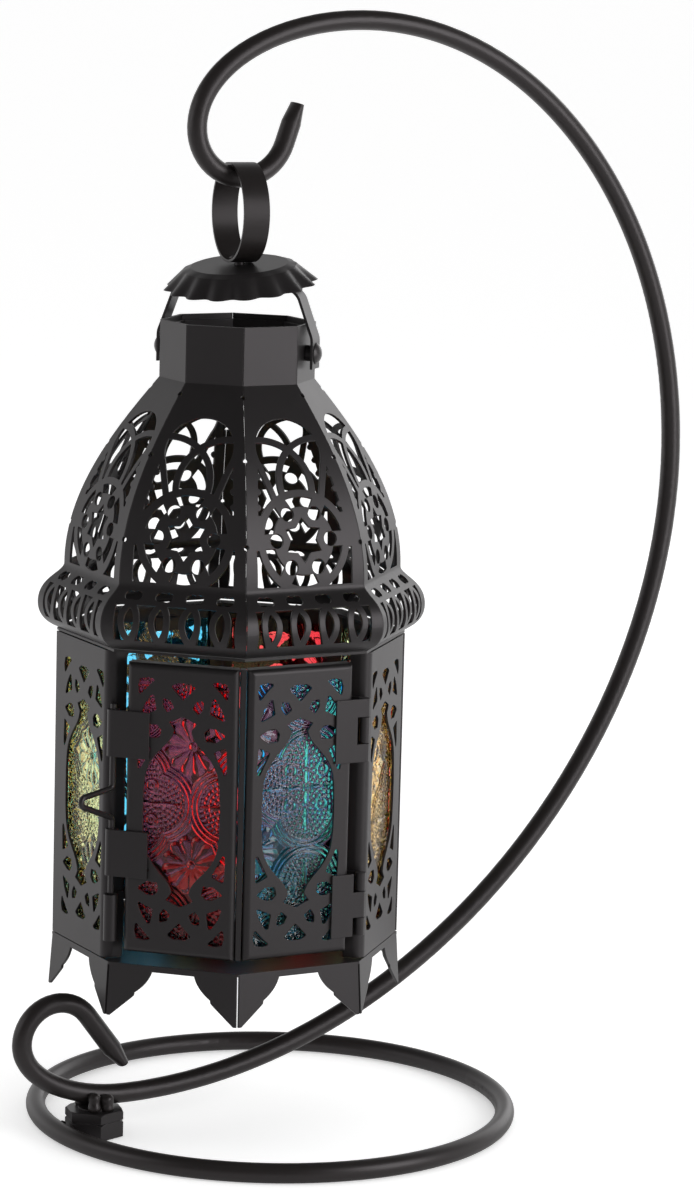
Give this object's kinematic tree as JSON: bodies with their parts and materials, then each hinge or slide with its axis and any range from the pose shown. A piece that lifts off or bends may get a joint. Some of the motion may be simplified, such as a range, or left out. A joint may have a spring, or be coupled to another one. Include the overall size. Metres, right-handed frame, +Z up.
{
  "type": "candle lantern",
  "caption": "Pierced black metal candle lantern with coloured pressed-glass sides and a latched door, hung by a ring from a bent-rod hook on a ring base.",
  "frame": {"origin": "centre of the overall box's underside, on the floor plane", "axes": "+Z up; +X along the plane of the bent rod, away from the hook; +Y away from the door"},
  "size_m": [0.229, 0.1516, 0.3399],
  "materials": {
    "black_paint": "satin black paint on mild steel",
    "red_glass": "pressed relief, coloured",
    "blue_glass": "pressed relief, coloured",
    "amber_glass": "pressed relief, coloured",
    "green_glass": "pressed relief, coloured",
    "candle_cup_foil": "thin drawn foil",
    "wax": "smooth wax",
    "wick": "braided cotton"
  },
  "bodies": {
    "stand": {"base_ring": "black_paint", "stand_rod": "black_paint", "rod_stud": "black_paint", "jam_nut": "black_paint", "base_nut": "black_paint"},
    "hanger": {"hanging_ring": "black_paint", "smoke_cap": "black_paint", "bail_strap": "black_paint", "top_rivet": "black_paint"},
    "lantern": {"bail_rivet_near": "black_paint", "bail_rivet_far": "black_paint", "neck_collar": "black_paint", "dome_petal_1": "black_paint", "dome_petal_2": "black_paint", "dome_petal_3": "black_paint", "dome_petal_4": "black_paint", "dome_petal_5": "black_paint", "dome_petal_6": "black_paint", "dome_petal_7": "black_paint", "dome_petal_8": "black_paint", "top_frame": "black_paint", "side_panel_1": "black_paint", "side_panel_2": "black_paint", "side_panel_3": "black_paint", "side_panel_4": "black_paint", "side_panel_5": "black_paint", "side_panel_6": "black_paint", "side_glass_1": "green_glass", "side_glass_2": "amber_glass", "side_glass_3": "blue_glass", "side_glass_4": "red_glass", "side_glass_5": "green_glass", "side_glass_6": "amber_glass", "base_tray": "black_paint", "candle_cup": "black_paint", "cup_rivet": "black_paint", "hinge_frame_upper": "black_paint", "hinge_frame_lower": "black_paint", "hinge_pin_upper": "black_paint", "hinge_pin_lower": "black_paint", "latch_keeper": "black_paint"},
    "door": {"door_panel_left": "black_paint", "door_panel_right": "black_paint", "door_glass_left": "red_glass", "door_glass_right": "blue_glass", "door_corner_strip": "black_paint", "hinge_leaf_upper": "black_paint", "hinge_leaf_lower": "black_paint", "latch_guide_upper": "black_paint", "latch_guide_lower": "black_paint"},
    "bolt": {"latch_bolt": "black_paint"},
    "candle": {"candle_shell": "candle_cup_foil", "candle_wax": "wax", "candle_wick": "wick"}
  },
  "joints": [
    {"name": "ring_swing", "type": "hinge", "parent": "stand", "child": "hanger", "pos_m": [-0.04385, 0, 0.28995], "axis": [1, 0, 0], "range_deg": [-2.5, 2.5]},
    {"name": "bail_pivot", "type": "hinge", "parent": "hanger", "child": "lantern", "pos_m": [-0.04385, 0, 0.2387], "axis": [0.7071, -0.7071, 0], "range_deg": [-2, 2]},
    {"name": "door_hinge", "type": "hinge", "parent": "lantern", "child": "door", "pos_m": [-0.02357, -0.04827, 0.1066], "axis": [0, 0, 1], "range_deg": [0, 110]},
    {"name": "bolt_slide", "type": "slide", "parent": "door", "child": "bolt", "axis": [0, 0, 1], "range_m": [0, 0.008]},
    {"name": "candle_lift", "type": "slide", "parent": "lantern", "child": "candle", "axis": [0, 0, 1], "range_m": [0, 0.03]}
  ]
}
